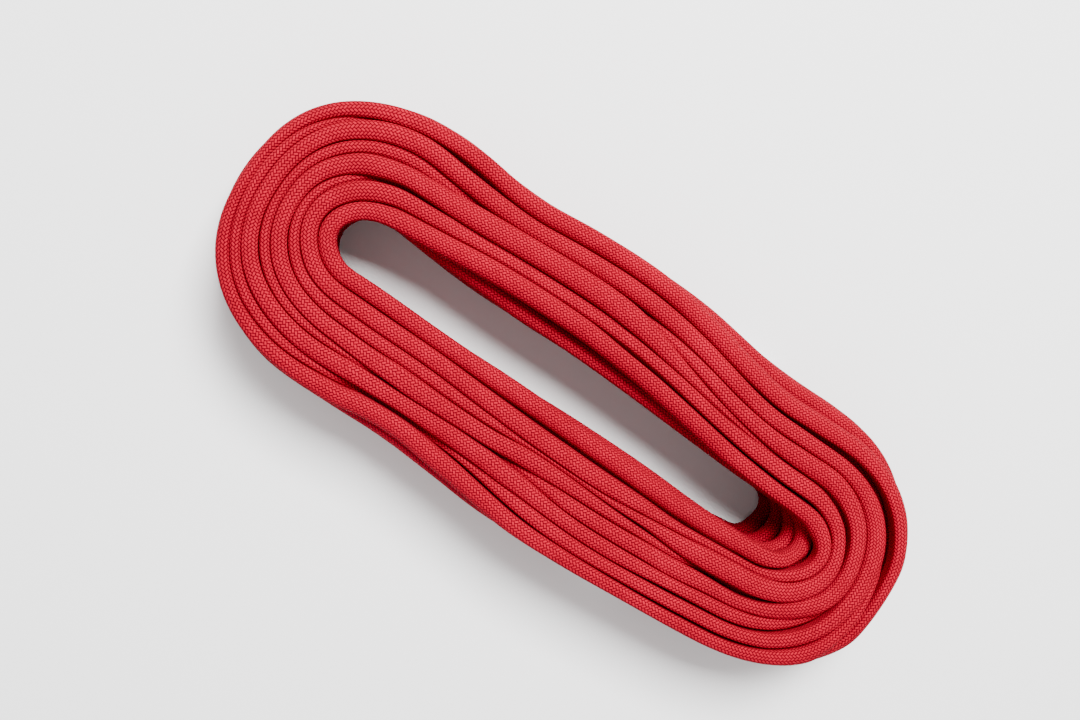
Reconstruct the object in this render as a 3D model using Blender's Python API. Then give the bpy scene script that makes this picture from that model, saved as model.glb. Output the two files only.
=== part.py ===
"""A 30 m dynamic climbing rope, 10 mm thick, wound in a flat oblong coil that lies on its side.

The turns are one closed ring.  Each end of the rope comes out low on one long side of the ring
and lies along its foot.  An end is built as the rope is: a braided sheath, eight core strands,
a paper length label, a shrunk-on sleeve and a melted tip.

Metres, +Z up.  The origin is under the middle of the coil, on the ground; +X is its long axis.
"""

import math

import bmesh
import bpy
from mathutils import Vector

# Coil
COIL_LENGTH = 0.396
COIL_WIDTH = 0.152
COIL_HEIGHT = 0.064
HOLE_LENGTH = 0.262
HOLE_WIDTH = 0.028
HOLE_CENTRE = (-0.012, 0.0025)  # the turns lie wider at the +X end and on the -Y side
TURNS_ROUNDING = 0.014         # radius of the bundle's long edges
BEND_STEPS = 24                # steps round each half-circle bend
EDGE_STEPS = 4                 # steps round each rounded edge

# Rope end, as radii from the rope's middle
CORE_CENTRE_RADIUS = 0.00145
CORE_STRAND_RADIUS = 0.00105
CORE_RING_RADIUS = 0.0028
CORE_STRANDS_IN_RING = 7
SHEATH_BORE_RADIUS = 0.00415
SHEATH_RADIUS = 0.0048
SHEATH_PRESSED_RADIUS = 0.0045  # where the sleeve squeezes it
LABEL_BORE_RADIUS = 0.0047
LABEL_RADIUS = 0.0049
SLEEVE_BORE_RADIUS = 0.0051
SLEEVE_RADIUS = 0.0054
TIP_RADIUS = 0.0045
TIP_LENGTH = 0.004

# Rope end, as distances back from the end of the sheath
SLEEVE_LENGTH = 0.040
LABEL_START = 0.032
LABEL_END = 0.008

GAP = 0.0003                   # kept between solids that touch on the real rope
TUBE_SIDES = 16
STRAND_SIDES = 6
POINT_SPACING = 0.018          # along an end's route

# Route of an end, from where it leaves the turns to its tip: x, distance out from the coil's
# long axis, height.  Both ends use it, one on each long side.
TAIL_ROUTE = (
    (-0.090, 0.0630, 0.0057),
    (-0.070, 0.0645, 0.0057),
    (-0.050, 0.0658, 0.0057),
    (-0.030, 0.0668, 0.0057),
    (-0.010, 0.0676, 0.0057),
    (0.010, 0.0682, 0.0057),
    (0.030, 0.0680, 0.0057),
    (0.050, 0.0678, 0.0057),
    (0.070, 0.0680, 0.0057),
    (0.088, 0.0684, 0.0057),
)
SHORT_ENDS = {"a": -1.0, "b": 1.0}   # which side of the coil each end lies on

COLOURS = {
    "sheath": ((0.56, 0.035, 0.055, 1.0), 0.80),
    "core": ((0.86, 0.85, 0.80, 1.0), 0.75),
    "label": ((0.90, 0.89, 0.85, 1.0), 0.60),
    "sleeve": ((0.85, 0.87, 0.88, 0.35), 0.25),
    "tip": ((0.22, 0.012, 0.020, 1.0), 0.45),
}


def clear_scene():
    for thing in list(bpy.data.objects):
        bpy.data.objects.remove(thing, do_unlink=True)


def material(name):
    colour, roughness = COLOURS[name]
    found = bpy.data.materials.get(name) or bpy.data.materials.new(name)
    found.use_nodes = True
    shader = found.node_tree.nodes["Principled BSDF"]
    shader.inputs["Base Color"].default_value = colour
    shader.inputs["Roughness"].default_value = roughness
    shader.inputs["Metallic"].default_value = 0.0
    return found


def add_object(name, mesh, material_name):
    thing = bpy.data.objects.new(name, mesh)
    thing.data.materials.append(material(material_name))
    bpy.context.scene.collection.objects.link(thing)
    return thing


def mesh_from(rings, close_ends, close_loop=False):
    """Joins rings of points, each the same count, into a closed mesh."""
    bm = bmesh.new()
    loops = [[bm.verts.new(point) for point in ring] for ring in rings]
    pairs = list(zip(loops, loops[1:]))
    if close_loop:
        pairs.append((loops[-1], loops[0]))
    for one, other in pairs:
        count = len(one)
        for i in range(count):
            j = (i + 1) % count
            bm.faces.new((one[i], one[j], other[j], other[i]))
    if close_ends:
        bm.faces.new(list(reversed(loops[0])))
        bm.faces.new(loops[-1])
    bmesh.ops.recalc_face_normals(bm, faces=bm.faces)
    mesh = bpy.data.meshes.new("mesh")
    bm.to_mesh(mesh)
    bm.free()
    mesh.shade_smooth()
    mesh.set_sharp_from_angle(angle=math.radians(40))
    return mesh


# ---------------------------------------------------------------- turns

def oval(length, width, centre=(0.0, 0.0)):
    """Points round a straight-sided oval with half-circle ends."""
    radius = width / 2
    arm = length / 2 - radius
    points = []
    for side in (1, -1):
        for step in range(BEND_STEPS + 1):
            angle = side * math.pi / 2 - math.pi * step / BEND_STEPS
            points.append(Vector((centre[0] + side * arm + radius * math.cos(angle),
                                  centre[1] + radius * math.sin(angle), 0.0)))
    return points


def turns_section():
    """The bundle's section: (share of the way from the hole to the outside, height)."""
    mean_width = (COIL_WIDTH - HOLE_WIDTH) / 2
    rounding = TURNS_ROUNDING / mean_width
    low = TURNS_ROUNDING
    high = COIL_HEIGHT - TURNS_ROUNDING
    corners = ((1 - rounding, high, 0), (rounding, high, 90),
               (rounding, low, 180), (1 - rounding, low, 270))
    section = []
    for share, height, start in corners:
        for step in range(EDGE_STEPS + 1):
            angle = math.radians(start + 90 * step / EDGE_STEPS)
            section.append((share + rounding * math.cos(angle),
                            height + TURNS_ROUNDING * math.sin(angle)))
    return section


def build_turns(tail_cutters):
    hole = oval(HOLE_LENGTH, HOLE_WIDTH, HOLE_CENTRE)
    outside = oval(COIL_LENGTH, COIL_WIDTH)
    rings = [[inner.lerp(outer, share) + Vector((0, 0, height))
              for inner, outer in zip(hole, outside)]
             for share, height in turns_section()]
    turns = add_object("rope_turns", mesh_from(rings, close_ends=False, close_loop=True), "sheath")
    for cutter in tail_cutters:
        groove = turns.modifiers.new("groove", "BOOLEAN")
        groove.operation = "DIFFERENCE"
        groove.solver = "EXACT"
        groove.object = cutter
    return turns


# ---------------------------------------------------------------- rope ends

def smooth_route(side):
    """Points at an even spacing on a smooth curve through the end's route."""
    knots = [Vector((x, side * out, height)) for x, out, height in TAIL_ROUTE]
    knots = [2 * knots[0] - knots[1]] + knots + [2 * knots[-1] - knots[-2]]
    fine = []
    for p0, p1, p2, p3 in zip(knots, knots[1:], knots[2:], knots[3:]):
        for step in range(20):
            t = step / 20
            fine.append(0.5 * (2 * p1 + (p2 - p0) * t + (2 * p0 - 5 * p1 + 4 * p2 - p3) * t ** 2
                               + (3 * p1 - p0 - 3 * p2 + p3) * t ** 3))
    fine.append(knots[-2])
    return fine


class Route:
    """A curve that can be read at any distance along it, with a frame that doesn't twist."""

    def __init__(self, side):
        self.points = smooth_route(side)
        self.at = [0.0]
        for one, other in zip(self.points, self.points[1:]):
            self.at.append(self.at[-1] + (other - one).length)
        self.length = self.at[-1]

    def point(self, distance):
        if distance >= self.length:
            ahead = (self.points[-1] - self.points[-2]).normalized()
            return self.points[-1] + ahead * (distance - self.length)
        for i in range(len(self.at) - 1):
            if distance <= self.at[i + 1]:
                share = (distance - self.at[i]) / (self.at[i + 1] - self.at[i])
                return self.points[i].lerp(self.points[i + 1], share)
        return self.points[-1]

    def frame(self, distance):
        step = 0.002
        ahead = self.point(distance + step)
        behind = self.point(max(distance - step, 0.0))
        forward = (ahead - behind).normalized()
        across = forward.cross(Vector((0, 0, 1))).normalized()
        up = across.cross(forward)
        return self.point(distance), across, up

    def ring(self, distance, radius, sides, offset=(0.0, 0.0)):
        centre, across, up = self.frame(distance)
        centre = centre + across * offset[0] + up * offset[1]
        turn = math.pi / sides
        return [centre + across * radius * math.cos(turn + 2 * math.pi * i / sides)
                + up * radius * math.sin(turn + 2 * math.pi * i / sides)
                for i in range(sides)]


def distances(start, end):
    steps = max(1, round((end - start) / POINT_SPACING))
    return [start + (end - start) * i / steps for i in range(steps + 1)]


def rod(route, start, end, radius, sides, offset=(0.0, 0.0)):
    rings = [route.ring(d, radius, sides, offset) for d in distances(start, end)]
    return mesh_from(rings, close_ends=True)


def pipe(route, outline, bore, sides):
    """A tube with a bore; outline is a list of (distance, outer radius)."""
    outside = [route.ring(d, radius, sides) for d, radius in outline]
    inside = [route.ring(d, bore, sides) for d, _ in reversed(outline)]
    return mesh_from(outside + inside, close_ends=False, close_loop=True)


def sheath_outline(route):
    pressed_from = route.length - SLEEVE_LENGTH
    taper = 0.003
    outline = [(d, SHEATH_RADIUS) for d in distances(GAP, pressed_from - taper)]
    outline += [(d, SHEATH_PRESSED_RADIUS) for d in distances(pressed_from, route.length)]
    return outline


def build_end(name, side):
    route = Route(side)
    end = route.length
    sheath = pipe(route, sheath_outline(route), SHEATH_BORE_RADIUS, TUBE_SIDES)
    add_object("sheath_end_" + name, sheath, "sheath")

    centre = rod(route, GAP, end - GAP, CORE_CENTRE_RADIUS, STRAND_SIDES)
    add_object("core_strand_" + name + "_1", centre, "core")
    for i in range(CORE_STRANDS_IN_RING):
        angle = 2 * math.pi * i / CORE_STRANDS_IN_RING
        offset = (CORE_RING_RADIUS * math.cos(angle), CORE_RING_RADIUS * math.sin(angle))
        strand = rod(route, GAP, end - GAP, CORE_STRAND_RADIUS, STRAND_SIDES, offset)
        add_object("core_strand_" + name + "_" + str(i + 2), strand, "core")

    label = pipe(route, [(d, LABEL_RADIUS) for d in distances(end - LABEL_START, end - LABEL_END)],
                 LABEL_BORE_RADIUS, TUBE_SIDES)
    add_object("length_label_" + name, label, "label")

    sleeve = pipe(route, [(d, SLEEVE_RADIUS) for d in distances(end - SLEEVE_LENGTH, end)],
                  SLEEVE_BORE_RADIUS, TUBE_SIDES)
    add_object("shrink_sleeve_" + name, sleeve, "sleeve")

    dome = [(0.0, 1.0), (0.35, 1.0), (0.75, 0.82), (1.0, 0.45)]
    rings = [route.ring(end + GAP + TIP_LENGTH * along, TIP_RADIUS * size, TUBE_SIDES)
             for along, size in dome]
    add_object("melted_tip_" + name, mesh_from(rings, close_ends=True), "tip")


def tail_cutter(name, side):
    """Stands where an end lies, a gap wider all round, and cuts its groove in the turns."""
    route = Route(side)
    rings = [route.ring(d, SLEEVE_RADIUS + GAP, TUBE_SIDES)
             for d in distances(0.0, route.length + 3 * TIP_LENGTH)]
    cutter = add_object("groove_" + name, mesh_from(rings, close_ends=True), "sheath")
    cutter.hide_render = True
    cutter.display_type = "WIRE"
    return cutter


def main():
    clear_scene()
    cutters = [tail_cutter(name, side) for name, side in SHORT_ENDS.items()]
    build_turns(cutters)
    for name, side in SHORT_ENDS.items():
        build_end(name, side)


main()
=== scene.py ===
"""The looks of a 30 m, 10 mm climbing rope, wound in a flat oblong coil.

The rope is one line, laid turn by turn.  A place on it is given by its turn and by where it
lies in the coil's section: how far outside the mean turn (u, in mm) and how high (z, in mm).
A turn starts at the coil's -X end, runs along the +Y arm, round the +X end and back along the
-Y arm, so turn 3.25 is in the middle of the +Y arm on its fourth time round.
"""

import math

import bpy
import numpy as np
from mathutils import Matrix, Vector


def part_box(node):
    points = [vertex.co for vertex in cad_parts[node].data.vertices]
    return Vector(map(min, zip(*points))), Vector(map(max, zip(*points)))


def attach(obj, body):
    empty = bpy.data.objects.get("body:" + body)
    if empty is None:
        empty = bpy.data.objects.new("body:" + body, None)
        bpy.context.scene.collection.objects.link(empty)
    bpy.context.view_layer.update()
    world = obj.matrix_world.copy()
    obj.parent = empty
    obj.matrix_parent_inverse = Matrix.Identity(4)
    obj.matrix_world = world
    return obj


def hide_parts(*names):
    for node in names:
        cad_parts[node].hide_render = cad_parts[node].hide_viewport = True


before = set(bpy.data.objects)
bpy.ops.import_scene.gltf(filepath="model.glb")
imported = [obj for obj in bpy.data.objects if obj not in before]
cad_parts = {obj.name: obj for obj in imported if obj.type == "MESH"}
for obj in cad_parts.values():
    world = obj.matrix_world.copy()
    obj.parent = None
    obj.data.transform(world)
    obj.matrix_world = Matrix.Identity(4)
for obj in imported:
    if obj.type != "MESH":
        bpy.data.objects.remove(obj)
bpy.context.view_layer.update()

MM = 0.001

# ---------------------------------------------------------------- sizes

ROPE_DIAMETER = 0.010
ROPE_RADIUS = ROPE_DIAMETER / 2
LENGTHS = 10                     # the rope is made as this many lengths, end to end
BEND_RADIUS = 0.046              # of the mean turn
EDGE_MARGIN = 0.031              # from the mean turn to the ends of the coil
MEAN_SHIFT = -0.003              # of the mean turn, along X
PRESSED_RADIUS = 0.0045          # of the rope under its end sleeve
PRESSED_TAPER = 0.003
RING_SPACING = 0.003
RING_SIDES = 48
SWELL = 1.12                     # how far a squeezed strand may swell where it is free
CREASE = 0.22                    # mm between each strand and the face it shares with the next
SIDE_ROOM = 5.3                  # mm, from the limits below to the coil's inner and outer faces

coil_low, coil_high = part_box("rope_turns")
HALF_ARM = (coil_high.x - coil_low.x) / 2 - BEND_RADIUS - EDGE_MARGIN
MIDDLE_X = (coil_high.x + coil_low.x) / 2 + MEAN_SHIFT
QUARTER = BEND_RADIUS * math.pi / 2
LAP = 4 * QUARTER + 4 * HALF_ARM

STATIONS = 96                    # sections per turn in which the strands are packed
PACK_STEPS = 260
PUSH = 0.28                      # share of an overlap that each strand makes good in a step
LEAST_DISTANCE = 0.5             # mm, so that strands in one place don't fly apart
STIFFNESS = 0.30                 # how far a strand's shift is evened out along it in a step
HIDDEN_PULL = 0.04               # share of its shift that a strand takes back in a step
SEEN_PULLS = (0.60, 0.12)        # the same, in u and in z, for strands that show on top
SEEN_HEIGHT = 55                 # mm, from which the top turns count as showing
CLOSEST = 9.3                    # mm between the middles of strands that press on each other
CLOSEST_ON_TOP = 5.2             # the same in the top layer, where they are squeezed sideways
TAIL_ROOM = 10.6                 # the same beside the two ends, which carry sleeves
ROW_HEIGHT = 8.8                 # mm, of nested strands
LANES = 5                        # strands in each of the lower rows, inside the outer column
LOWER_ROWS = 5
WOBBLE_SPACING = 0.11            # of a turn, between the places where a strand wanders
WOBBLE_U = 1.0                   # mm, sideways in the lower rows
WOBBLE_Z = 0.5                   # mm, up and down
WOBBLE_SEED = 5

# Where the strands' middles may lie across the coil, by place in the turn: (turn, u).  These
# are for the top layer.  Lower down the coil is wider, by each spread per mm of height.
# The top layer's limits, gaps and turns follow measurements of the photograph, in mm.
OUTER_LIMIT = (
    (0, 18.4), (0.03, 22.2), (0.05, 20.2), (0.08, 17.5), (0.10, 19.8), (0.12, 18.2), (0.15, 16.7),
    (0.17, 17.3), (0.20, 20), (0.23, 21.7), (0.26, 22.9), (0.29, 22.4), (0.32, 19.5),
    (0.35, 17), (0.38, 17.5), (0.42, 17.1), (0.44, 17.1), (0.46, 16.6), (0.475, 16.6),
    (0.49, 14.2), (0.50, 15), (0.515, 19.8), (0.525, 21.6), (0.54, 18.9), (0.555, 15.6),
    (0.575, 13.2), (0.60, 15.4), (0.64, 17.7), (0.68, 19.2), (0.73, 22), (0.76, 22.7),
    (0.80, 20.4), (0.85, 18.1), (0.87, 18.8), (0.90, 18.8), (0.92, 17.7), (0.94, 19.2),
    (0.965, 21.3), (0.985, 20.3), (1.0, 18.4),
)
OUTER_SPREAD = ((0, 0.17), (0.05, 0.16), (0.10, 0.13), (0.40, 0.12), (0.46, 0.18),
                (0.55, 0.18), (0.60, 0.12), (0.90, 0.13), (0.96, 0.17), (1.0, 0.17))
INNER_LIMIT = ((0, -18.5), (0.04, -21), (0.08, -24), (0.12, -26.7), (0.16, -29), (0.20, -27.6),
               (0.24, -26), (0.28, -26.8), (0.32, -28), (0.36, -26), (0.42, -27),
               (0.50, -29), (0.58, -31), (0.64, -32), (0.68, -34), (0.72, -34), (0.76, -33),
               (0.80, -30.5), (0.84, -28), (0.88, -26.5), (0.92, -26), (0.96, -23),
               (1.0, -18.5))
INNER_SPREAD = ((0, 0), (0.40, 0), (0.44, 0.10), (0.47, 0.16), (0.53, 0.16), (0.57, 0.08),
                (0.60, 0), (1.0, 0))
LIMIT_MARGIN = 0.5               # mm past a limit, or past its wanted place, that a strand may go

# How much wider than round a strand may lie, by the height of its middle, mm
SPREAD_HEIGHTS = (50, 56, 59, 61)
SPREADS = (1.0, 1.0, 1.12, 1.32)

# Places where neighbouring turns of the top layer stand apart: (turn, u, half the gap, mm)
GAPS = (
    ((0.055, -11.5, 0), (0.08, -11.3, 1.4), (0.12, -10.6, 0)),
    ((0.08, 15.5, 0), (0.11, 14.5, 1.4), (0.15, 12.6, 0)),
    ((0.24, -13.8, 0), (0.28, -15.2, 0.5), (0.32, -18.8, 0.5), (0.36, -22.8, 0.5),
     (0.40, -24, 0.5), (0.44, -21.8, 0.4), (0.46, -19.5, 0)),
    ((0.33, 8.2, 0), (0.36, 5, 0.6), (0.40, 5.6, 1.2), (0.42, 6.6, 1.6), (0.44, 9.8, 1.6),
     (0.46, 13, 1.2), (0.48, 13.8, 0.8), (0.51, 14.5, 0.6), (0.53, 17.5, 0)),
    ((0.42, -14, 0), (0.44, -12.3, 1.2), (0.46, -10.6, 1.5), (0.48, -9.3, 1.3), (0.50, -8.4, 0)),
    ((0.475, -25.5, 0), (0.485, -25, 1.0), (0.50, -24.5, 1.3), (0.52, -26.2, 1.2),
     (0.56, -28.7, 0.8), (0.60, -27.5, 0.6), (0.63, -25, 0.3), (0.66, -22.5, 0)),
    ((0.52, 2.5, 0), (0.54, 3.2, 0.5), (0.58, 3.4, 0.6), (0.62, 6, 0.4), (0.66, 9.2, 0)),
    ((0.53, 10.5, 0), (0.55, 11.4, 0.6), (0.60, 13.1, 0.7), (0.64, 16.2, 0.6),
     (0.68, 18, 0.4), (0.71, 19, 0)),
    ((0.70, 19, 0), (0.74, 18.4, 0.4), (0.76, 16.5, 0.5), (0.80, 11.4, 0.6), (0.83, 9.4, 1.1),
     (0.85, 9.6, 1.3), (0.88, 11, 0.7), (0.91, 12, 0)),
    ((0.755, -1.4, 0), (0.775, -1.0, 1.1), (0.80, -0.8, 0)),
    ((0.845, -0.5, 0), (0.865, 0, 0.7), (0.89, 0.8, 0)),
    ((0.66, -11.8, 0), (0.70, -12.6, 0.6), (0.74, -13, 0.8), (0.765, -12.8, 0)),
    ((0.56, -11, 0), (0.60, -10.2, 0.8), (0.63, -9.6, 0.7), (0.66, -10.5, 0.3), (0.68, -11, 0)),
)
GAP_FLOOR = 52                   # mm, the height above which a strand keeps out of a gap
GAP_REACH = 9                    # mm, how near a gap's middle the strands beside it lie
LEAST_SIDE = 2.0                 # mm from its middle, where a gap cuts a strand off at most
LONE_DISTANCE = 16.0             # mm to the next strand, from which it doesn't press any more
LONE_FADE = 4.0                  # mm over which it presses less and less
FACING = 0.05                    # cosine from which a direction counts as facing something
NEAREST = 8                      # neighbours that a strand is flattened against
SQUEEZES = 3                     # times the strands are squeezed and swell again
LEAST_SWELL = 0.94
EVENINGS = 2                     # times the squeezed sections are evened out

# Turn at which the strands of each lower row step across to the next lane
LANE_STEPS = (0.93, 1.15, 0.90, 1.04, 0.80)
STEP_LENGTH = 0.40

# The top turns, from where they come up out of the lower rows: (turn, u) or (turn, u, z).
# Where a turn shows, u follows it as measured; z, and all of a hidden stretch, is chosen.
TOP_START = 26.0
TOP_RISE = 0.1                   # of a turn, from the lower rows' last lane to there
TOP_HEIGHT = 59.0
TOP_RUN = (
    (0.55, -10, 51), (0.58, -10, 52.5), (0.61, -9.8, 54), (0.64, -9, 55.5), (0.67, -8.4, 57),
    (0.70, -8, 58), (0.74, -8),
    (0.76, -7.6), (0.78, -5.7), (0.80, -5.2), (0.84, -5.1), (0.88, -5.3), (0.90, -6.2),
    (0.92, -6.8), (0.94, -5.4), (0.96, -3.4), (0.98, -2), (1.00, -1.5), (1.02, -0.9),
    (1.04, -2.2), (1.06, -4.4), (1.08, -6), (1.10, -5.8), (1.12, -4.6, 60), (1.14, -3.2, 61),
    (1.16, -1.7, 61), (1.18, -0.4, 61), (1.20, 0.6, 61), (1.24, 0.8, 61), (1.26, -0.8, 60),
    (1.28, -3.6, 59), (1.30, -6.5, 57.5),
    (1.34, -11.5, 57), (1.38, -14, 55), (1.42, -13, 54.5), (1.44, -12.5, 53),
    (1.46, -11.5, 50.5), (1.50, -9, 49), (1.60, -6, 49), (1.80, -2, 49), (1.84, -0.9, 53),
    (1.86, -0.8, 55), (1.88, 0, 56.5), (1.90, 0, 57), (1.92, -0.2, 57.5), (1.94, 1.2, 57.5),
    (1.96, 3.2, 57.5), (1.98, 4.4, 57.5), (2.00, 4.7, 57.5), (2.02, 5.6, 57.5),
    (2.04, 5.4, 57.5), (2.06, 4.2, 57),
    (2.08, 2.9, 56), (2.10, 2.6, 54.5), (2.12, 2.4, 53), (2.14, 2.1, 51.5), (2.16, 2, 51),
    (2.20, 2, 50.5), (2.22, 2.1, 51.5), (2.24, 2.2, 53), (2.26, 2.1, 55),
    (2.28, 1.4, 57), (2.30, -0.4, 58), (2.34, -6), (2.38, -8.3), (2.42, -7.4), (2.44, -7),
    (2.46, -5.8), (2.48, -5), (2.50, -3.5), (2.52, -3.7), (2.54, -7), (2.56, -8.8),
    (2.58, -9.1), (2.60, -7.4), (2.62, -5.5), (2.64, -2.6), (2.66, -2), (2.68, -1),
    (2.70, -0.4), (2.72, -0.3), (2.74, -0.8, 57), (2.76, -1, 54), (2.78, -1.2, 51),
    (2.84, -2, 49), (2.95, -8, 49), (3.05, -16, 49), (3.12, -23, 48), (3.18, -26.5, 47.5),
    (3.24, -26, 47.5), (3.30, -27, 47.5), (3.38, -28.5, 46), (3.44, -28, 45),
    (3.48, -27.5, 47), (3.50, -27.8, 49.5), (3.52, -29.2, 52.5), (3.54, -31, 55.5),
    (3.58, -33, 58.5), (3.62, -31), (3.66, -29.6),
    (3.70, -29.8), (3.76, -30.2), (3.80, -30.2), (3.84, -30.4), (3.92, -30), (3.96, -26.5),
    (4.00, -22.5), (4.04, -24.5), (4.08, -26.2), (4.12, -22.8), (4.16, -19, 60), (4.20, -17.1, 60),
    (4.24, -16.9, 60), (4.28, -19, 60), (4.32, -23), (4.36, -27), (4.40, -28.3), (4.42, -28.3),
    (4.44, -26), (4.46, -23.5), (4.48, -20.5), (4.50, -20, 58.5), (4.54, -23.5, 57),
    (4.58, -25, 56), (4.62, -22.5, 56), (4.64, -21, 56.5), (4.66, -19.6, 57), (4.70, -17.8, 58.5),
    (4.74, -18), (4.76, -18.2), (4.80, -19.6), (4.84, -21.4), (4.88, -21.1), (4.92, -21.2),
    (4.96, -17.5), (5.00, -13.4), (5.04, -15.2), (5.06, -16.3), (5.08, -16.3), (5.10, -15.6),
    (5.12, -14.6, 57.5), (5.16, -12.2, 57), (5.20, -10.8, 57), (5.24, -9.8, 57.5),
    (5.28, -11, 58),
    (5.34, -17.5), (5.38, -19.6), (5.42, -19.5), (5.44, -17.5), (5.46, -15.2), (5.48, -14.2),
    (5.50, -13.2), (5.54, -15.6, 60), (5.57, -18, 61), (5.60, -17.6, 61), (5.62, -16.2, 60),
    (5.64, -15, 59), (5.67, -14, 58), (5.70, -13.3, 57.5), (5.73, -13, 57),
    (5.77, -12.6, 57), (5.80, -12.5, 57.5), (5.84, -13.1, 58), (5.88, -13.4, 58),
    (5.92, -14, 58), (5.96, -10.6, 57.5), (6.00, -7.6, 57), (6.02, -7.6, 57), (6.04, -9, 56),
    (6.06, -10.5, 53), (6.08, -11, 49), (6.12, -10, 47.5), (6.30, -5, 49), (6.46, 0, 49),
    (6.50, 0.5, 51), (6.54, -0.3, 55), (6.56, -1.2, 57), (6.58, -1.1, 58.5), (6.60, 1),
    (6.64, 4.8), (6.68, 7.2), (6.70, 7.6), (6.74, 6.3), (6.76, 4.9), (6.78, 3.7), (6.80, 3.5),
    (6.84, 4.2), (6.88, 5.2), (6.90, 5.9), (6.92, 5.8), (6.94, 7.7), (6.96, 10.4),
    (6.98, 11.1), (7.00, 10.9), (7.02, 12.2), (7.04, 13), (7.06, 12), (7.08, 10.9),
    (7.10, 10.1, 58.5), (7.12, 9, 58), (7.14, 8, 58), (7.16, 8, 58), (7.20, 10.8, 58),
    (7.24, 12.3, 58), (7.28, 10.4, 58),
    (7.30, 7.8), (7.32, 4.6), (7.34, 1.6), (7.36, -0.2), (7.38, 0.1), (7.42, 1.1), (7.44, 3),
    (7.46, 5), (7.50, 5.5), (7.52, 5.8), (7.54, 7.2), (7.56, 7.6), (7.58, 7.5), (7.60, 9.2),
    (7.64, 12.5), (7.68, 15), (7.70, 15.5), (7.72, 15.1), (7.76, 12.6, 57.5), (7.78, 11.2, 56),
    (7.80, 10, 54.5), (7.83, 9.5, 51), (7.86, 11, 52), (7.88, 12, 55), (7.90, 12.4, 56.5),
    (7.92, 13.1, 57),
    (7.96, 16.8, 57.5), (8.00, 16.2, 57), (8.04, 18.2, 57), (8.06, 17.8, 56), (8.08, 17, 53),
    (8.10, 16, 49), (8.13, 15, 47), (8.20, 14, 49), (8.30, 10, 49), (8.40, 6, 49),
    (8.46, 8.5, 50), (8.48, 10.8, 54), (8.50, 12, 56.5), (8.52, 14, 58), (8.54, 16.5),
    (8.56, 15), (8.58, 14.3), (8.60, 16), (8.62, 17.6), (8.66, 20), (8.70, 22.2),
    (8.74, 22.5), (8.76, 20.5), (8.80, 17), (8.84, 14), (8.86, 15.5), (8.88, 18, 58),
    (8.92, 19.2, 57.5), (8.96, 22, 57), (9.00, 19.8, 56.5), (9.04, 22.2, 56.5),
    (9.06, 20.6, 56.5), (9.08, 19.1, 56.5), (9.10, 20, 57), (9.12, 19.6, 58), (9.14, 17.8),
    (9.16, 17.2, 60), (9.20, 20.3, 60), (9.24, 22), (9.26, 21.5), (9.28, 19.8), (9.30, 17.2),
    (9.32, 14.2), (9.34, 11.3), (9.36, 9.5),
    (9.38, 10), (9.42, 11.8), (9.44, 14), (9.46, 15.9), (9.48, 16.7, 58), (9.50, 16.6, 56.5),
    (9.52, 19.4, 54), (9.54, 19.2, 50),
)
# From there the rope runs down the coil's outer side to the floor: (turn, z)
OUTER_RUN = (
    (9.58, 49), (9.70, 49), (9.88, 49), (9.96, 41), (10.06, 41), (10.16, 46), (10.28, 49),
    (10.44, 49), (10.50, 44), (10.75, 40), (11.00, 34), (11.25, 38.5), (11.50, 34),
    (11.75, 31), (12.00, 26), (12.25, 28.5), (12.50, 24), (12.75, 22), (13.00, 18),
    (13.25, 18.5), (13.50, 15), (13.75, 14.3), (14.00, 9),
)

# Each end's route along the foot of the coil: x, distance out from the coil's long axis, height.
# End "a" lies on the -Y side and starts the rope; end "b" lies on the +Y side and finishes it.
TAIL_ROUTE = (
    (-0.090, 0.0630, 0.0057),
    (-0.070, 0.0645, 0.0057),
    (-0.050, 0.0658, 0.0057),
    (-0.030, 0.0668, 0.0057),
    (-0.010, 0.0676, 0.0057),
    (0.010, 0.0682, 0.0057),
    (0.030, 0.0680, 0.0057),
    (0.050, 0.0678, 0.0057),
    (0.070, 0.0680, 0.0057),
    (0.088, 0.0684, 0.0057),
)
SLEEVE_LENGTH = 0.040
HELD_FROM = 1                    # point the rope is held from: the one before is the CAD's
                                 # alone, because it lies too near the lowest turn
LANDING = 0.16                   # of a turn, in which end b comes in to its route

# The lower strands are eased after packing, so that they bend less where others push them:
# fully below the first height, not at all above the second, mm
EASE_HEIGHTS = (44, 50)
EASE_STEPS = 12

LINE_EVENINGS = 6                # times the rope's finished line is evened out
LINE_STEPS = 6                   # points of it for each section packed
TAIL_STEPS = 20                  # and for each point of an end's route

# ---------------------------------------------------------------- the rope's line

def mean_turn(turn):
    """Points of the mean turn and its outward directions, at each of an array of turns."""
    run = (np.asarray(turn, float) % 1.0) * LAP
    arm = 2 * HALF_ARM
    bend = (np.clip(run, 0, QUARTER) + np.clip(run - QUARTER - arm, 0, 2 * QUARTER)
            + np.clip(run - 3 * QUARTER - 2 * arm, 0, QUARTER))
    angle = math.pi - bend / BEND_RADIUS
    centre = (MIDDLE_X - HALF_ARM + np.clip(run - QUARTER, 0, arm)
              - np.clip(run - 3 * QUARTER - arm, 0, arm))
    out = np.stack([np.cos(angle), np.sin(angle)], 1)
    return np.stack([centre, np.zeros_like(centre)], 1) + BEND_RADIUS * out, out


def smooth(knots, values, at):
    """A smooth curve through the knots, read at an array of places."""
    knots = np.asarray(knots, float)
    values = np.asarray(values, float)
    slopes = np.gradient(values, knots)
    left = np.clip(np.searchsorted(knots, at, side="right") - 1, 0, len(knots) - 2)
    span = knots[left + 1] - knots[left]
    share = np.clip((at - knots[left]) / span, 0, 1)
    rest = 1 - share
    return (values[left] * (1 + 2 * share) * rest ** 2 + slopes[left] * span * share * rest ** 2
            + values[left + 1] * share ** 2 * (1 + 2 * rest)
            - slopes[left + 1] * span * share ** 2 * rest)


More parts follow.
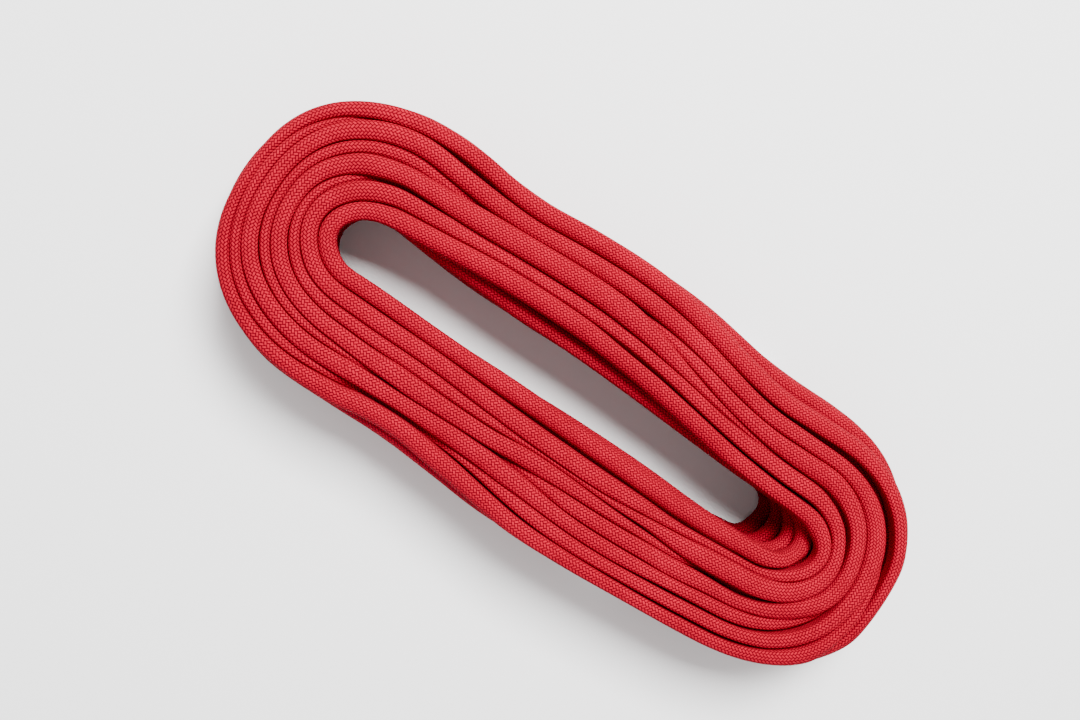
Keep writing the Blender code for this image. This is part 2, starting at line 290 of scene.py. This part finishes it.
def tail_turn(x, side):
    """Place in the turn of a point beside one arm: side is +1 for +Y, -1 for -Y."""
    run = QUARTER + HALF_ARM + side * (np.asarray(x, float) - MIDDLE_X)
    if side < 0:
        run = run + 2 * HALF_ARM + 2 * QUARTER
    return run / LAP


def tail_line(side, turns):
    """u and z of an end's route, at an array of places in the turn."""
    x, out, height = np.array(TAIL_ROUTE).T
    knots = tail_turn(x, side)
    order = np.argsort(knots)
    return (smooth(knots[order], (out[order] - BEND_RADIUS) / MM, turns),
            smooth(knots[order], height[order] / MM, turns))


def limit(table, turns):
    """A limit or a spread of the coil, at an array of turns."""
    places, values = np.array(table, float).T
    return smooth(places, values, turns % 1.0)


def lower_lanes():
    """The lanes of the lower rows in the order they are laid: (turn it starts at, lane, row)."""
    lanes = []
    for row in range(LOWER_ROWS):
        order = range(1, LANES + 1)
        if row % 2:
            order = reversed(order)
        for place, lane in enumerate(order):
            lanes.append((row * LANES + place + LANE_STEPS[row], lane, row))
    return lanes


def outer_limit(turns, z):
    return limit(OUTER_LIMIT, turns) + limit(OUTER_SPREAD, turns) * (TOP_HEIGHT - z)


def inner_limit(turns, z):
    return limit(INNER_LIMIT, turns) - limit(INNER_SPREAD, turns) * (TOP_HEIGHT - z)


def lane_place(lane, row, turns):
    """u and z of a lane of a lower row; odd rows lie in the hollows of even ones."""
    z = ROPE_RADIUS / MM + ROW_HEIGHT * row + 0 * turns
    outer = outer_limit(turns, z)
    pitch = (outer - inner_limit(turns, z)) / (LANES + 0.25)
    along = lane + 0.5 - 0.5 * (row % 2)
    return outer + pitch * (0.25 - along), z


def wobble(turns, size, rng):
    """A gentle wander, the same each run."""
    knots = np.arange(turns[0] - 0.2, turns[-1] + 0.4, WOBBLE_SPACING)
    return smooth(knots, rng.normal(0, size, len(knots)), turns)


def ease(share):
    """A share that goes from 0 to 1, made to start and stop gently."""
    return share * share * (3 - 2 * share)


def lower_places(turns):
    """u and z of the lower rows, lane after lane."""
    rng = np.random.default_rng(WOBBLE_SEED)
    u = np.zeros_like(turns)
    z = np.zeros_like(turns)
    for number, (start, lane, row) in enumerate(lower_lanes()):
        after = np.clip((turns - start) / STEP_LENGTH + 0.5, 0, 1) if number else 1 + 0 * turns
        after = ease(after)
        lane_u, lane_z = lane_place(lane, row, turns)
        u += (lane_u - u) * after
        z += (lane_z - z) * after
    u += wobble(turns, WOBBLE_U, rng)
    z += wobble(turns, WOBBLE_Z, rng)
    return u, z


def top_places(turns, u, z):
    """Puts the top turns, and the run down the outside, in u and z: True where they are."""
    run = np.array([knot if len(knot) == 3 else (*knot, TOP_HEIGHT) for knot in TOP_RUN], float)
    down, heights = np.array(OUTER_RUN).T
    run = np.concatenate([run, np.stack([down, outer_limit(down, heights), heights], 1)])
    rise = TOP_START - TOP_RISE
    top = turns > rise
    last = np.interp(rise, turns, u), np.interp(rise, turns, z)
    knots = np.concatenate([[rise], run[:, 0] + TOP_START])
    u[top] = smooth(knots, np.concatenate([[last[0]], run[:, 1]]), turns[top])
    z[top] = smooth(knots, np.concatenate([[last[1]], run[:, 2]]), turns[top])
    outside = turns > TOP_START + OUTER_RUN[0][0]
    u[outside] = outer_limit(turns, z)[outside]
    return top


def wanted_places(turns):
    """u and z that each point of the rope is drawn to, how strongly, and how much room it has."""
    u, z = lower_places(turns)
    top = top_places(turns, u, z)
    _, out, height = TAIL_ROUTE[HELD_FROM]
    landed = ease(np.clip((turns - TOP_START - OUTER_RUN[-1][0]) / LANDING, 0, 1))
    u += ((out - BEND_RADIUS) / MM - u) * landed
    z += (height / MM - z) * landed
    seen = top & (z > SEEN_HEIGHT)
    pull = np.where(seen[:, None], SEEN_PULLS, HIDDEN_PULL)
    closest = np.where(seen, CLOSEST_ON_TOP, CLOSEST)
    return u, z, pull, closest


def hold_tails(turns, u, z):
    """Puts the two ends on their routes, and returns which points those are."""
    first = turns <= tail_turn(TAIL_ROUTE[HELD_FROM][0], -1)
    last = turns >= tail_turn(TAIL_ROUTE[HELD_FROM][0], 1) + math.floor(turns[-1])
    u[first], z[first] = tail_line(-1, turns[first])
    u[last], z[last] = tail_line(1, turns[last] - math.floor(turns[-1]))
    return first | last


def neighbour_mean(values):
    """The mean of the points before and after each."""
    wide = np.concatenate([values[:1], values, values[-1:]])
    return (wide[:-2] + wide[2:]) / 2


def in_sections(values, offset):
    """The points' values sorted by section: turn, station, value.  Empty places are nan."""
    laps = math.ceil((offset + len(values)) / STATIONS)
    grid = np.full((laps * STATIONS, values.shape[1]), np.nan)
    grid[offset:offset + len(values)] = values
    return grid.reshape(laps, STATIONS, -1)


def push_apart(place, closest, offset):
    """How far each strand moves away from those it lies in, section by section."""
    grid = in_sections(place, offset)
    room = in_sections(closest[:, None], offset)[..., 0]
    room = np.maximum(room[:, None], room[None, :])
    gap = grid[:, None] - grid[None, :]
    distance = np.sqrt((gap ** 2).sum(-1))
    near = (distance < room) & (distance > 1e-6)
    share = np.where(near, (room - distance) / np.maximum(distance, LEAST_DISTANCE), 0)
    move = np.nansum(gap * share[..., None], axis=1)
    return move.reshape(-1, 2)[offset:offset + len(place)]


def pack_strands(turns):
    """Lets the strands settle beside and on each other, near where each is wanted."""
    u, z, pull, closest = wanted_places(turns)
    held = hold_tails(turns, u, z)
    closest[held] = TAIL_ROOM
    wanted = np.stack([u, z], 1)
    place = wanted.copy()
    offset = round(turns[0] * STATIONS)
    top = turns > TOP_START
    beyond = np.where(top, np.maximum(u - outer_limit(turns, z), 0), 0) + LIMIT_MARGIN
    within = np.where(top, np.maximum(inner_limit(turns, z) - u, 0), 0) + LIMIT_MARGIN
    floor = ROPE_RADIUS / MM
    for _ in range(PACK_STEPS):
        away = place - wanted
        away += STIFFNESS * (neighbour_mean(away) - away)
        place = wanted + away * (1 - pull)
        place += PUSH * push_apart(place, closest, offset)
        outer = outer_limit(turns, place[:, 1]) + beyond
        inner = inner_limit(turns, place[:, 1]) - within
        place[:, 0] = np.clip(place[:, 0], inner, outer)
        place[:, 1] = np.maximum(place[:, 1], floor)
        place[held] = wanted[held]
    ease_strands(place, held)
    return place


def ease_strands(place, held):
    """Evens out the lower strands along the rope, except where it is held."""
    low, high = EASE_HEIGHTS
    for _ in range(EASE_STEPS):
        loose = np.clip((high - place[:, 1]) / (high - low), 0, 1) * ~held
        place += 0.5 * (neighbour_mean(place) - place) * loose[:, None]


def flatten(shape, reach, facing):
    """Cuts sections off at flat faces this far from their middles, in the facing directions."""
    return np.where(facing > FACING, np.minimum(shape, reach / np.maximum(facing, FACING)), shape)


def keep_within(shape, room, facing, least):
    """Flattens sections where they have only this much room, but to no less than the least."""
    return flatten(shape, np.maximum(room, least)[:, None], facing)


def meet_neighbours(radius, place, offset, directions):
    """Flattens sections halfway to each of their nearest neighbours."""
    grid = in_sections(place, offset)
    gap = grid[None, :] - grid[:, None]
    distance = np.sqrt((gap ** 2).sum(-1))
    distance[~(distance > 1e-6)] = np.inf
    nearest = np.argsort(distance, axis=1)[:, :NEAREST]
    shape = in_sections(radius, offset)
    for rank in range(nearest.shape[1]):
        pick = nearest[:, rank][:, None]
        to = np.take_along_axis(gap, pick[..., None], axis=1)[:, 0]
        far = np.take_along_axis(distance, pick, axis=1)[:, 0]
        facing = np.einsum("lsc,kc->lsk", np.nan_to_num(to), directions) / far[..., None]
        shape = flatten(shape, (far / 2 - CREASE)[..., None], facing)
    return shape.reshape(-1, len(directions))[offset:offset + len(place)]


def open_gaps(shape, place, turns, outward):
    """Flattens the strands on both sides of each gap in the top layer."""
    u, z = place.T
    for knots in GAPS:
        places, middles, halves = np.array(knots).T
        middle = np.interp(turns % 1.0, places, middles)
        half = np.interp(turns % 1.0, places, halves, left=0, right=0)
        beside = (half > 0) & (z > GAP_FLOOR) & (abs(u - middle) < GAP_REACH)
        outside = np.where(beside & (u >= middle), u - middle - half, np.inf)
        inside = np.where(beside & (u < middle), middle - half - u, np.inf)
        shape = keep_within(shape, outside, -outward, LEAST_SIDE)
        shape = keep_within(shape, inside, outward, LEAST_SIDE)
    return shape


def clip_sections(radius, place, turns, angles):
    """Radii of the strands' sections, flattened at all that they lie against."""
    outward, upward = -np.cos(angles), np.sin(angles)
    directions = np.stack([outward, upward], 1)
    shape = meet_neighbours(radius, place, round(turns[0] * STATIONS), directions)
    u, z = place.T
    least = SIDE_ROOM - 1
    shape = keep_within(shape, z, -upward, least)
    shape = keep_within(shape, outer_limit(turns, z) - u + SIDE_ROOM, outward, least)
    shape = keep_within(shape, u - inner_limit(turns, z) + SIDE_ROOM, -outward, least)
    return open_gaps(shape, place, turns, outward)


def side_gaps(place, offset):
    """Distance from each strand to the next one at its level, inward and outward."""
    grid = in_sections(place, offset)
    gap = grid[None, :] - grid[:, None]
    level = abs(gap[..., 1]) < ROPE_RADIUS / MM
    inner = np.where(level & (gap[..., 0] < -1), -gap[..., 0], LONE_DISTANCE).min(axis=1)
    outer = np.where(level & (gap[..., 0] > 1), gap[..., 0], LONE_DISTANCE).min(axis=1)
    return [side.reshape(-1)[offset:offset + len(place)] for side in (inner, outer)]


def resting_sections(place, turns, angles):
    """Radii of the strands' sections before they meet: wider than round in the top layer.

    A strand spreads to the side away from the neighbour that presses on it, and the spread
    is also limited by the room between the strand and the coil's face on that neighbour's side.
    """
    u, z = place.T
    round_radius = ROPE_RADIUS / MM
    wider = np.interp(z, SPREAD_HEIGHTS, SPREADS) - 1
    inner_gap, outer_gap = side_gaps(place, round(turns[0] * STATIONS))
    inner_side = wider * np.clip((LONE_DISTANCE - outer_gap) / LONE_FADE, 0, 1)
    outer_side = wider * np.clip((LONE_DISTANCE - inner_gap) / LONE_FADE, 0, 1)
    inner_side = np.minimum(inner_side,
                            (outer_limit(turns, z) - u + SIDE_ROOM) / round_radius - 1)
    outer_side = np.minimum(outer_side,
                            (u - inner_limit(turns, z) + SIDE_ROOM) / round_radius - 1)
    facing_in = np.cos(angles) > 0
    spread = np.where(facing_in, inner_side[:, None], outer_side[:, None])
    across = 1 + np.maximum(spread, 0)
    return round_radius / np.sqrt((np.cos(angles) / across) ** 2 + np.sin(angles) ** 2)


def squeeze_strands(place, turns):
    """Each strand's section, mm: radii at an even spacing round it.

    A squeezed strand swells where it is free, towards its own area and within limits.
    """
    radius = ROPE_RADIUS / MM
    angles = 2 * math.pi * np.arange(RING_SIDES) / RING_SIDES
    resting = resting_sections(place, turns, angles)
    free = resting
    for _ in range(SQUEEZES):
        shape = clip_sections(free, place, turns, angles)
        lost = radius / np.sqrt((shape ** 2).mean(1, keepdims=True))
        free = np.clip(free * lost, resting * LEAST_SWELL, resting * SWELL)
    shape = clip_sections(free, place, turns, angles)
    for _ in range(EVENINGS):
        shape[1:-1] = 0.25 * shape[:-2] + 0.5 * shape[1:-1] + 0.25 * shape[2:]
        shape = 0.5 * shape + 0.25 * (np.roll(shape, 1, axis=1) + np.roll(shape, -1, axis=1))
    return shape


def spline(points, steps):
    """A smooth line through the points, with this many steps from each to the next."""
    ends = np.concatenate([[2 * points[0] - points[1]], points, [2 * points[-1] - points[-2]]])
    p0, p1, p2, p3 = (ends[i:len(ends) - 3 + i, None] for i in range(4))
    t = (np.arange(steps) / steps)[None, :, None]
    line = 0.5 * (2 * p1 + (p2 - p0) * t + (2 * p0 - 5 * p1 + 4 * p2 - p3) * t ** 2
                  + (3 * p1 - p0 - 3 * p2 + p3) * t ** 3)
    return np.concatenate([line.reshape(-1, points.shape[1]), points[-1:]])


def even(line, spacing):
    """The same line with its points at an even spacing, and how far along each is."""
    steps = np.linalg.norm(np.diff(line[:, :3], axis=0), axis=1)
    run = np.concatenate([[0], np.cumsum(steps)])
    at = np.linspace(0, run[-1], round(run[-1] / spacing) + 1)
    return np.stack([np.interp(at, run, column) for column in line.T], 1), at


def tail_points(side, first_turn):
    """An end's route as a smooth line: x, y, z and turn."""
    x, out, height = np.array(TAIL_ROUTE[HELD_FROM:]).T
    turn = tail_turn(x, side) + first_turn
    return spline(np.stack([x, side * out, height, turn], 1), TAIL_STEPS)


def rope_line():
    """The whole rope from the tip of end a to that of end b: points, run and section radii."""
    last_turn = TOP_START + math.floor(OUTER_RUN[-1][0])
    starts = tail_turn(TAIL_ROUTE[-1][0], -1)
    ends = tail_turn(TAIL_ROUTE[-1][0], 1) + last_turn
    turns = np.arange(math.ceil(starts * STATIONS), math.floor(ends * STATIONS) + 1) / STATIONS
    place = pack_strands(turns)
    shape = squeeze_strands(place, turns) * MM
    base, out = mean_turn(turns)
    points = np.column_stack([base + out * place[:, :1] * MM, place[:, 1] * MM, turns])
    clear = 0.5 / STATIONS
    held_x = TAIL_ROUTE[HELD_FROM][0]
    loose = ((turns > tail_turn(held_x, -1) + clear)
             & (turns < tail_turn(held_x, 1) + last_turn - clear))
    line = np.concatenate([tail_points(-1, 0)[::-1], spline(points[loose], LINE_STEPS),
                           tail_points(1, last_turn)])
    line, _ = even(line, RING_SPACING / 2)
    for _ in range(LINE_EVENINGS):
        line[1:-1] = 0.25 * line[:-2] + 0.5 * line[1:-1] + 0.25 * line[2:]
    line, run = even(line, RING_SPACING)
    spot = np.clip((line[:, 3] - turns[0]) * STATIONS, 0, len(turns) - 1.001)
    before = spot.astype(int)
    share = (spot - before)[:, None]
    return line[:, :3], run, shape[before] * (1 - share) + shape[before + 1] * share


# ---------------------------------------------------------------- meshes

def ring_frames(line):
    """The across and up directions at each point of a line that lies nearly level."""
    along = np.gradient(line, axis=0)
    along /= np.linalg.norm(along, axis=1, keepdims=True)
    up = np.array([0, 0, 1.0]) - along * along[:, 2:]
    up /= np.linalg.norm(up, axis=1, keepdims=True)
    return np.cross(along, up), up


def tube_mesh(name, line, across, up, radius, run):
    """A closed tube; its UVs are the share of the way round, and metres along the rope."""
    count = len(line)
    angle = 2 * math.pi * np.arange(RING_SIDES) / RING_SIDES
    ring = (across[:, None] * np.cos(angle)[None, :, None]
            + up[:, None] * np.sin(angle)[None, :, None])
    points = (line[:, None] + ring * radius[..., None]).reshape(-1, 3)
    first = np.arange(count - 1)[:, None] * RING_SIDES
    side = np.arange(RING_SIDES)[None]
    after = (side + 1) % RING_SIDES
    quads = np.stack([first + side, first + RING_SIDES + side,
                      first + RING_SIDES + after, first + after], -1).reshape(-1, 4)
    caps = [list(range(RING_SIDES)),
            list(range((count - 1) * RING_SIDES, count * RING_SIDES))[::-1]]
    mesh = bpy.data.meshes.new(name)
    mesh.from_pydata(points, [], quads.tolist() + caps)
    u = np.stack([side, side, side + 1, side + 1], -1) / RING_SIDES + 0 * first[..., None]
    v = np.stack([run[:-1], run[1:], run[1:], run[:-1]], -1)[:, None] + 0 * u
    flat = np.stack([u, v], -1).reshape(-1, 2)
    cap_uv = np.tile([[0.0, run[0]]], (RING_SIDES, 1)), np.tile([[0.0, run[-1]]], (RING_SIDES, 1))
    layer = mesh.uv_layers.new(name="rope")
    layer.uv.foreach_set("vector", np.concatenate([flat, *cap_uv]).astype(np.float32).ravel())
    mesh.shade_smooth()
    mesh.set_sharp_from_angle(angle=math.radians(60))
    mesh.validate()
    return mesh


# ---------------------------------------------------------------- materials

class Nodes:
    """Short names for building a material's nodes."""

    def __init__(self, name):
        self.material = bpy.data.materials.new(name)
        self.material.use_nodes = True
        self.tree = self.material.node_tree
        self.shader = self.tree.nodes["Principled BSDF"]

    def add(self, kind, values=(), **settings):
        node = self.tree.nodes.new(kind)
        for key, value in settings.items():
            setattr(node, key, value)
        for socket, value in values:
            self.put(node.inputs[socket], value)
        return node

    def put(self, socket, value):
        if isinstance(value, bpy.types.NodeSocket):
            self.tree.links.new(value, socket)
        else:
            socket.default_value = value

    def math(self, operation, *values):
        return self.add("ShaderNodeMath", enumerate(values), operation=operation).outputs[0]

    def ramp(self, factor, stops):
        node = self.add("ShaderNodeValToRGB", [("Fac", factor)])
        elements = node.color_ramp.elements
        while len(elements) < len(stops):
            elements.new(0.5)
        for element, (position, colour) in zip(elements, stops):
            element.position = position
            element.color = (*colour, 1)
        return node.outputs[0]

    def noise(self, scale, detail=2.0, vector=None):
        values = [("Scale", scale), ("Detail", detail)]
        if vector is not None:
            values.append(("Vector", vector))
        return self.add("ShaderNodeTexNoise", values).outputs["Fac"]

    def mix(self, factor, one, other, blend="MIX"):
        node = self.add("ShaderNodeMix", data_type="RGBA", blend_type=blend)
        self.put(node.inputs[0], factor)
        self.put(node.inputs[6], one)
        self.put(node.inputs[7], other)
        return node.outputs[2]

    def bump(self, height, distance):
        node = self.add("ShaderNodeBump", [("Height", height), ("Distance", distance),
                                           ("Strength", 1.0)])
        return node.outputs[0]

    def set(self, **values):
        for key, value in values.items():
            self.put(self.shader.inputs[key.replace("_", " ")], value)
        return self.material


YARNS_ROUND = 20                 # yarns of each of the two families
YARN_PITCH = 0.0019              # along the rope
FILAMENTS = 4                    # fine ridges across a yarn


def braid_weave(n):
    """The places across and along the yarn that is on top, and that yarn's number.

    Two families of yarns spiral opposite ways, each over two and under two of the other.
    """
    uv = n.add("ShaderNodeUVMap", uv_map="rope").outputs[0]
    split = n.add("ShaderNodeSeparateXYZ", [(0, uv)])
    around = n.math("MULTIPLY", split.outputs[0], YARNS_ROUND)
    along = n.math("DIVIDE", split.outputs[1], YARN_PITCH)
    one = n.math("ADD", around, along)
    two = n.math("SUBTRACT", around, along)
    one_part = n.math("FRACT", one)
    two_part = n.math("FRACT", two)
    both = n.math("ADD", n.math("FLOOR", one), n.math("FLOOR", two))
    column = n.math("FLOORED_MODULO", both, 4.0)
    first_on_top = n.math("LESS_THAN", column, 1.5)

    def choose(when_first, when_second):
        node = n.add("ShaderNodeMix", data_type="FLOAT")
        n.put(node.inputs[0], first_on_top)
        n.put(node.inputs[2], when_second)
        n.put(node.inputs[3], when_first)
        return node.outputs[0]

    across = choose(one_part, two_part)
    first_run = n.math("MULTIPLY", n.math("ADD", column, two_part), 0.5)
    second_run = n.math("MULTIPLY", n.math("ADD", n.math("SUBTRACT", column, 2.0), one_part), 0.5)
    run = choose(first_run, second_run)
    yarn = choose(n.math("FLOOR", one), n.math("ADD", n.math("FLOOR", two), 0.5))
    return across, run, yarn


def yarn_height(n, across, run):
    """How high a yarn stands: a pair of plies side by side, lower where it goes under."""
    from_middle = n.math("ABSOLUTE", n.math("MULTIPLY_ADD", across, 2.0, -1.0))
    from_centre = n.math("ABSOLUTE", n.math("MULTIPLY_ADD", run, 2.0, -1.0))
    edge = n.math("SQRT", n.math("SUBTRACT", 1.0, n.math("POWER", from_middle, 4.0)))
    wave = n.math("ABSOLUTE", n.math("SINE", n.math("MULTIPLY", across, 2 * math.pi)))
    ply = n.math("MULTIPLY_ADD", n.math("POWER", wave, 0.5), 0.18, 0.82)
    round_across = n.math("MULTIPLY", edge, ply)
    dip = n.math("MULTIPLY_ADD", n.math("POWER", from_centre, 3.0), -0.55, 1.0)
    return n.math("MULTIPLY", round_across, dip)


def braid_material():
    """Red nylon yarns, braided, tone changing from yarn to yarn and along the rope; painted shade
    between yarns.
    """
    n = Nodes("sheath_braid")
    across, run, yarn = braid_weave(n)
    height = yarn_height(n, across, run)
    yarn_noise = n.add("ShaderNodeTexWhiteNoise", [("W", yarn)], noise_dimensions="1D").outputs[0]
    place = n.add("ShaderNodeTexCoord").outputs["Object"]
    cloud = n.noise(22.0, 3.0, place)
    fuzz = n.noise(2600.0, 2.0, place)
    shade = n.math("ADD", n.math("MULTIPLY", cloud, 0.7), n.math("MULTIPLY", yarn_noise, 0.3))
    crown = n.ramp(shade, [(0.25, (0.30, 0.0001, 0.0125)), (0.75, (0.41, 0.0003, 0.019))])
    # Painted shade: the colour is darkened by the yarns' height, to near black where they dip
    # under each other.
    painted_shade_between_yarns = n.ramp(height, [(0.0, (0.04, 0.04, 0.04)), (0.55, (0.26, 0.26, 0.26)),
                          (0.88, (1.0, 1.0, 1.0))])
    colour = n.mix(1.0, crown, painted_shade_between_yarns, "MULTIPLY")
    filaments = n.math("SINE", n.math("MULTIPLY", across, 2 * math.pi * FILAMENTS))
    relief = n.math("ADD", height, n.math("MULTIPLY", filaments, 0.05))
    relief = n.math("ADD", relief, n.math("MULTIPLY", fuzz, 0.18))
    normal = n.bump(relief, 0.0005)
    return n.set(Base_Color=colour, Roughness=0.75, Specular_IOR_Level=0.03, Normal=normal,
                 Sheen_Weight=0.04, Sheen_Roughness=0.45, Sheen_Tint=(1.0, 0.10, 0.10, 1.0))


def core_material():
    """Twisted white filament yarn."""
    n = Nodes("core_yarn")
    place = n.add("ShaderNodeTexCoord").outputs["Object"]
    twist = n.add("ShaderNodeTexWave", [("Vector", place), ("Scale", 260.0), ("Distortion", 2.0)],
                  bands_direction="DIAGONAL")
    colour = n.ramp(twist.outputs["Fac"], [(0.1, (0.60, 0.59, 0.54)), (0.8, (0.88, 0.87, 0.82))])
    normal = n.bump(twist.outputs["Fac"], 0.0001)
    return n.set(Base_Color=colour, Roughness=0.65, Normal=normal, Sheen_Weight=0.2)


def label_material():
    """Plain paper."""
    n = Nodes("label_paper")
    fibre = n.noise(900.0, 4.0, n.add("ShaderNodeTexCoord").outputs["Object"])
    colour = n.ramp(fibre, [(0.3, (0.80, 0.79, 0.74)), (0.7, (0.90, 0.89, 0.85))])
    return n.set(Base_Color=colour, Roughness=0.75, Normal=n.bump(fibre, 0.00004))


def sleeve_material():
    """Clear shrunk-on plastic with faint wrinkles."""
    n = Nodes("sleeve_clear")
    place = n.add("ShaderNodeTexCoord").outputs["Object"]
    wrinkle = n.noise(420.0, 2.0, place)
    colour = n.ramp(wrinkle, [(0.3, (0.80, 0.82, 0.83)), (0.7, (0.90, 0.91, 0.92))])
    return n.set(Base_Color=colour, Roughness=0.16, Alpha=0.30, Normal=n.bump(wrinkle, 0.00012))


def tip_material():
    """Nylon melted into a hard dark cap."""
    n = Nodes("tip_melted")
    place = n.add("ShaderNodeTexCoord").outputs["Object"]
    lumps = n.noise(650.0, 3.0, place)
    colour = n.ramp(lumps, [(0.3, (0.10, 0.006, 0.009)), (0.7, (0.30, 0.016, 0.024))])
    return n.set(Base_Color=colour, Roughness=0.38, Normal=n.bump(lumps, 0.0004))


def give(thing, material):
    thing.data.materials.clear()
    thing.data.materials.append(material)


# ---------------------------------------------------------------- the rope's pieces

def build_rope(material):
    """The rope as ten equal lengths, end to end, in place of the CAD's turns and sheath ends."""
    line, run, radius = rope_line()
    across, up = ring_frames(line)
    from_end = np.minimum(run, run[-1] - run)
    pressed = np.clip((SLEEVE_LENGTH + PRESSED_TAPER - from_end) / PRESSED_TAPER, 0, 1)
    radius += (PRESSED_RADIUS - radius) * pressed[:, None]
    cuts = np.linspace(0, len(line) - 1, LENGTHS + 1).round().astype(int)
    for number, (start, stop) in enumerate(zip(cuts, cuts[1:])):
        part = slice(start, stop + 1)
        name = f"rope_length_{number + 1:02d}"
        mesh = tube_mesh(name, line[part], across[part], up[part], radius[part], run[part])
        piece = bpy.data.objects.new(name, mesh)
        bpy.context.scene.collection.objects.link(piece)
        give(piece, material)
        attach(piece, "root")
        path = line[part]
        carried = []
        if number == 0:
            path = path[::-1]
            carried = end_nodes("a")
            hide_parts("sheath_end_a")
        if number == LENGTHS - 1:
            carried = end_nodes("b")
            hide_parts("sheath_end_b")
        if number == LENGTHS // 2:
            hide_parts("rope_turns")


def end_nodes(name):
    """The CAD pieces on one end of the rope."""
    kinds = [f"core_strand_{name}_{number}" for number in range(1, 9)]
    kinds += [f"{kind}_{name}" for kind in ("length_label", "shrink_sleeve", "melted_tip")]
    return [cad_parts[kind] for kind in kinds]


def finish_ends():
    kinds = {"core_strand": core_material(), "length_label": label_material(),
             "shrink_sleeve": sleeve_material(), "melted_tip": tip_material()}
    for name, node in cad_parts.items():
        for kind, material in kinds.items():
            if name.startswith(kind):
                for slot in node.material_slots:
                    slot.material = material


# ---------------------------------------------------------------- floor, light and camera

FLOOR_HALF = 3.0


def build_floor():
    mesh = bpy.data.meshes.new("floor")
    half = FLOOR_HALF
    mesh.from_pydata([(-half, -half, 0), (half, -half, 0), (half, half, 0), (-half, half, 0)],
                     [], [(0, 1, 2, 3)])
    floor = bpy.data.objects.new("floor", mesh)
    bpy.context.scene.collection.objects.link(floor)
    n = Nodes("floor_pale")
    tone = n.ramp(n.noise(3.0), [(0.3, (0.86, 0.86, 0.86)), (0.7, (0.88, 0.88, 0.88))])
    give(floor, n.set(Base_Color=tone, Roughness=0.9, Specular_IOR_Level=0.1))


CAMERA_PLACE = Vector((-0.0974, 0.0011, 0.6111))
CAMERA_AIM = Vector((-0.0223, 0.0046, 0.0))
CAMERA_UP_ANGLE = math.radians(124.9)   # level direction that is up in the picture
CAMERA_LENS = 38.33                     # mm on a 36 mm sensor


def level_direction(angle):
    return Vector((math.cos(angle), math.sin(angle), 0))


def add_camera():
    data = bpy.data.cameras.new("camera")
    data.lens = CAMERA_LENS
    data.sensor_width = 36.0
    data.clip_start = 0.01
    camera = bpy.data.objects.new("camera", data)
    back = (CAMERA_PLACE - CAMERA_AIM).normalized()
    right = level_direction(CAMERA_UP_ANGLE).cross(back).normalized()
    up = back.cross(right)
    turn = Matrix((right, up, back)).transposed().to_4x4()
    camera.matrix_world = Matrix.Translation(CAMERA_PLACE) @ turn
    bpy.context.scene.collection.objects.link(camera)
    bpy.context.scene.camera = camera


def add_area(name, picture_angle, distance, height, size, power):
    """A soft square light, beside the coil in a direction given as seen in the picture."""
    data = bpy.data.lights.new(name, "AREA")
    data.size = size
    data.energy = power
    light = bpy.data.objects.new(name, data)
    side = level_direction(CAMERA_UP_ANGLE + picture_angle) * distance
    light.location = side + Vector((0, 0, height))
    light.rotation_euler = (-light.location).to_track_quat("-Z", "Y").to_euler()
    bpy.context.scene.collection.objects.link(light)


def add_lights():
    add_area("key", math.radians(-20), 0.72, 1.35, 0.6, 84)
    add_area("fill", math.radians(160), 1.0, 1.1, 1.4, 3)
    world = bpy.data.worlds.new("world")
    world.use_nodes = True
    world.node_tree.nodes["Background"].inputs["Color"].default_value = (1, 1, 1, 1)
    world.node_tree.nodes["Background"].inputs["Strength"].default_value = 0.85
    bpy.context.scene.world = world


# ---------------------------------------------------------------- all of it

add_camera()
build_rope(braid_material())
finish_ends()
build_floor()
add_lights()
